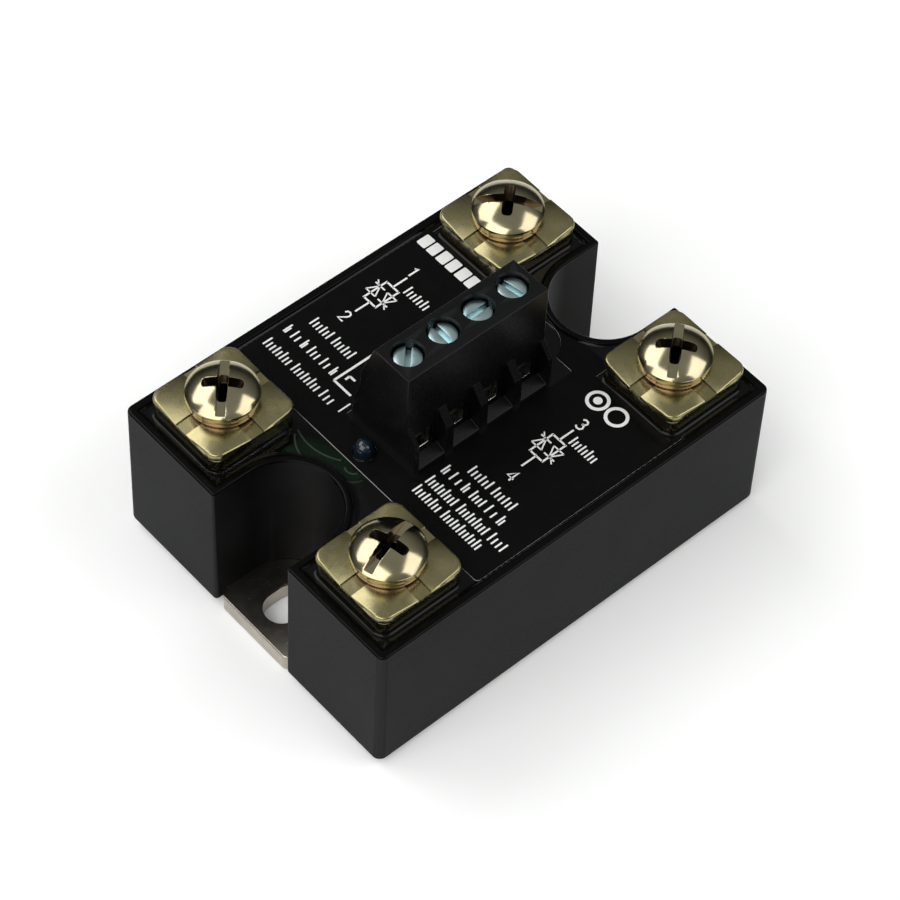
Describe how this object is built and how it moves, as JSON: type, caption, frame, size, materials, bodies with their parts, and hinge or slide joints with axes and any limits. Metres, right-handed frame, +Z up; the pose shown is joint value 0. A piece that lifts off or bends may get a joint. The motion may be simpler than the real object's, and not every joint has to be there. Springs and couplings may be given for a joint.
{
  "type": "solid state relay",
  "caption": "Panel-mount two-pole solid state relay with notched rectangular case, metal base plate, screw clamp output terminals and a raised control terminal block.",
  "frame": {"origin": "centre of the base plate's underside", "axes": "+Z up, away from the heatsink; +X along the long side; the control wires enter from -Y"},
  "size_m": [0.0584, 0.0448, 0.0353],
  "materials": {
    "nickel_plate": "satin nickel plating over aluminium",
    "case_plastic": "moulded flame-retardant plastic, fine spark texture",
    "resin": "glossy black cast epoxy",
    "label_film": "glossy black film with white print",
    "terminal_plastic": "moulded plastic, slight sheen",
    "contact_metal": "tin-plated brass",
    "board_laminate": "glass epoxy laminate with green solder mask",
    "led_epoxy": "clear bluish epoxy",
    "lead_metal": "tinned steel wire",
    "terminal_nickel": "nickel-plated brass",
    "clamp_nickel": "nickel-plated pressed steel, warm tint",
    "washer_steel": "nickel-plated spring steel",
    "screw_nickel": "bright nickel-plated steel",
    "screw_zinc": "blue zinc-plated steel",
    "cage_nickel": "nickel-plated steel",
    "copper": "bare copper",
    "alumina": "fired alumina",
    "silicon": "metallised silicon",
    "pin_metal": "tinned copper wire",
    "capacitor_epoxy": "dipped epoxy coat",
    "resistor_body": "glazed black body",
    "package_epoxy": "moulded epoxy"
  },
  "bodies": {
    "root": {"base_plate": "nickel_plate", "case_shell": "case_plastic", "potting_resin": "resin", "label": "label_film", "terminal_housing": "terminal_plastic", "contact_bars": "contact_metal", "circuit_board": "board_laminate", "led_lens_1": "led_epoxy", "led_lens_2": "led_epoxy", "led_leads": "lead_metal", "output_terminal_1": "terminal_nickel", "output_terminal_2": "terminal_nickel", "output_terminal_3": "terminal_nickel", "output_terminal_4": "terminal_nickel", "tile_back_copper_1": "copper", "tile_back_copper_2": "copper", "ceramic_tile_1": "alumina", "ceramic_tile_2": "alumina", "tile_tracks_1": "copper", "tile_tracks_2": "copper", "thyristor_dies_1": "silicon", "thyristor_dies_2": "silicon", "cathode_clips_1": "copper", "cathode_clips_2": "copper", "gate_pins_1": "pin_metal", "gate_pins_2": "pin_metal", "phototriac_couplers": "package_epoxy", "gate_resistors": "resistor_body", "snubber_resistors": "resistor_body", "snubber_capacitors": "capacitor_epoxy", "input_regulators": "package_epoxy", "input_diodes": "package_epoxy"},
    "output_clamp_1": {"clamp_plate_1": "clamp_nickel", "spring_washer_1": "washer_steel"},
    "output_screw_1": {"output_screw_1": "screw_nickel"},
    "output_clamp_2": {"clamp_plate_2": "clamp_nickel", "spring_washer_2": "washer_steel"},
    "output_screw_2": {"output_screw_2": "screw_nickel"},
    "output_clamp_3": {"clamp_plate_3": "clamp_nickel", "spring_washer_3": "washer_steel"},
    "output_screw_3": {"output_screw_3": "screw_nickel"},
    "output_clamp_4": {"clamp_plate_4": "clamp_nickel", "spring_washer_4": "washer_steel"},
    "output_screw_4": {"output_screw_4": "screw_nickel"},
    "control_screw_1": {"control_screw_1": "screw_zinc"},
    "wire_cage_1": {"wire_cage_1": "cage_nickel"},
    "control_screw_2": {"control_screw_2": "screw_zinc"},
    "wire_cage_2": {"wire_cage_2": "cage_nickel"},
    "control_screw_3": {"control_screw_3": "screw_zinc"},
    "wire_cage_3": {"wire_cage_3": "cage_nickel"},
    "control_screw_4": {"control_screw_4": "screw_zinc"},
    "wire_cage_4": {"wire_cage_4": "cage_nickel"}
  },
  "joints": [
    {"name": "clamp_lift_1", "type": "slide", "parent": "root", "child": "output_clamp_1", "axis": [0, 0, 1], "range_m": [0, 0.0035]},
    {"name": "output_screw_turn_1", "type": "hinge", "parent": "output_clamp_1", "child": "output_screw_1", "pos_m": [0.02125, 0.01415, 0.025], "axis": [0, 0, 1], "range_deg": [0, 1800]},
    {"name": "clamp_lift_2", "type": "slide", "parent": "root", "child": "output_clamp_2", "axis": [0, 0, 1], "range_m": [0, 0.0035]},
    {"name": "output_screw_turn_2", "type": "hinge", "parent": "output_clamp_2", "child": "output_screw_2", "pos_m": [-0.02125, 0.01415, 0.025], "axis": [0, 0, 1], "range_deg": [0, 1800]},
    {"name": "clamp_lift_3", "type": "slide", "parent": "root", "child": "output_clamp_3", "axis": [0, 0, 1], "range_m": [0, 0.0035]},
    {"name": "output_screw_turn_3", "type": "hinge", "parent": "output_clamp_3", "child": "output_screw_3", "pos_m": [0.02125, -0.01415, 0.025], "axis": [0, 0, 1], "range_deg": [0, 1800]},
    {"name": "clamp_lift_4", "type": "slide", "parent": "root", "child": "output_clamp_4", "axis": [0, 0, 1], "range_m": [0, 0.0035]},
    {"name": "output_screw_turn_4", "type": "hinge", "parent": "output_clamp_4", "child": "output_screw_4", "pos_m": [-0.02125, -0.01415, 0.025], "axis": [0, 0, 1], "range_deg": [0, 1800]},
    {"name": "control_screw_turn_1", "type": "hinge", "parent": "root", "child": "control_screw_1", "pos_m": [-0.00717, -0.00065, 0.033], "axis": [0, 0, 1], "range_deg": [-1260, 0]},
    {"name": "wire_cage_lift_1", "type": "slide", "parent": "root", "child": "wire_cage_1", "axis": [0, 0, 1], "range_m": [0, 0.00158]},
    {"name": "control_screw_turn_2", "type": "hinge", "parent": "root", "child": "control_screw_2", "pos_m": [-0.00209, -0.00065, 0.033], "axis": [0, 0, 1], "range_deg": [-1260, 0]},
    {"name": "wire_cage_lift_2", "type": "slide", "parent": "root", "child": "wire_cage_2", "axis": [0, 0, 1], "range_m": [0, 0.00158]},
    {"name": "control_screw_turn_3", "type": "hinge", "parent": "root", "child": "control_screw_3", "pos_m": [0.00299, -0.00065, 0.033], "axis": [0, 0, 1], "range_deg": [-1260, 0]},
    {"name": "wire_cage_lift_3", "type": "slide", "parent": "root", "child": "wire_cage_3", "axis": [0, 0, 1], "range_m": [0, 0.00158]},
    {"name": "control_screw_turn_4", "type": "hinge", "parent": "root", "child": "control_screw_4", "pos_m": [0.00807, -0.00065, 0.033], "axis": [0, 0, 1], "range_deg": [-1260, 0]},
    {"name": "wire_cage_lift_4", "type": "slide", "parent": "root", "child": "wire_cage_4", "axis": [0, 0, 1], "range_m": [0, 0.00158]}
  ],
  "couplings": [
    {"joint": "output_screw_turn_1", "follows": "clamp_lift_1", "rad_per_m": 8976},
    {"joint": "output_screw_turn_2", "follows": "clamp_lift_2", "rad_per_m": 8976},
    {"joint": "output_screw_turn_3", "follows": "clamp_lift_3", "rad_per_m": 8976},
    {"joint": "output_screw_turn_4", "follows": "clamp_lift_4", "rad_per_m": 8976},
    {"joint": "control_screw_turn_1", "follows": "wire_cage_lift_1", "rad_per_m": -13963},
    {"joint": "control_screw_turn_2", "follows": "wire_cage_lift_2", "rad_per_m": -13963},
    {"joint": "control_screw_turn_3", "follows": "wire_cage_lift_3", "rad_per_m": -13963},
    {"joint": "control_screw_turn_4", "follows": "wire_cage_lift_4", "rad_per_m": -13963}
  ]
}
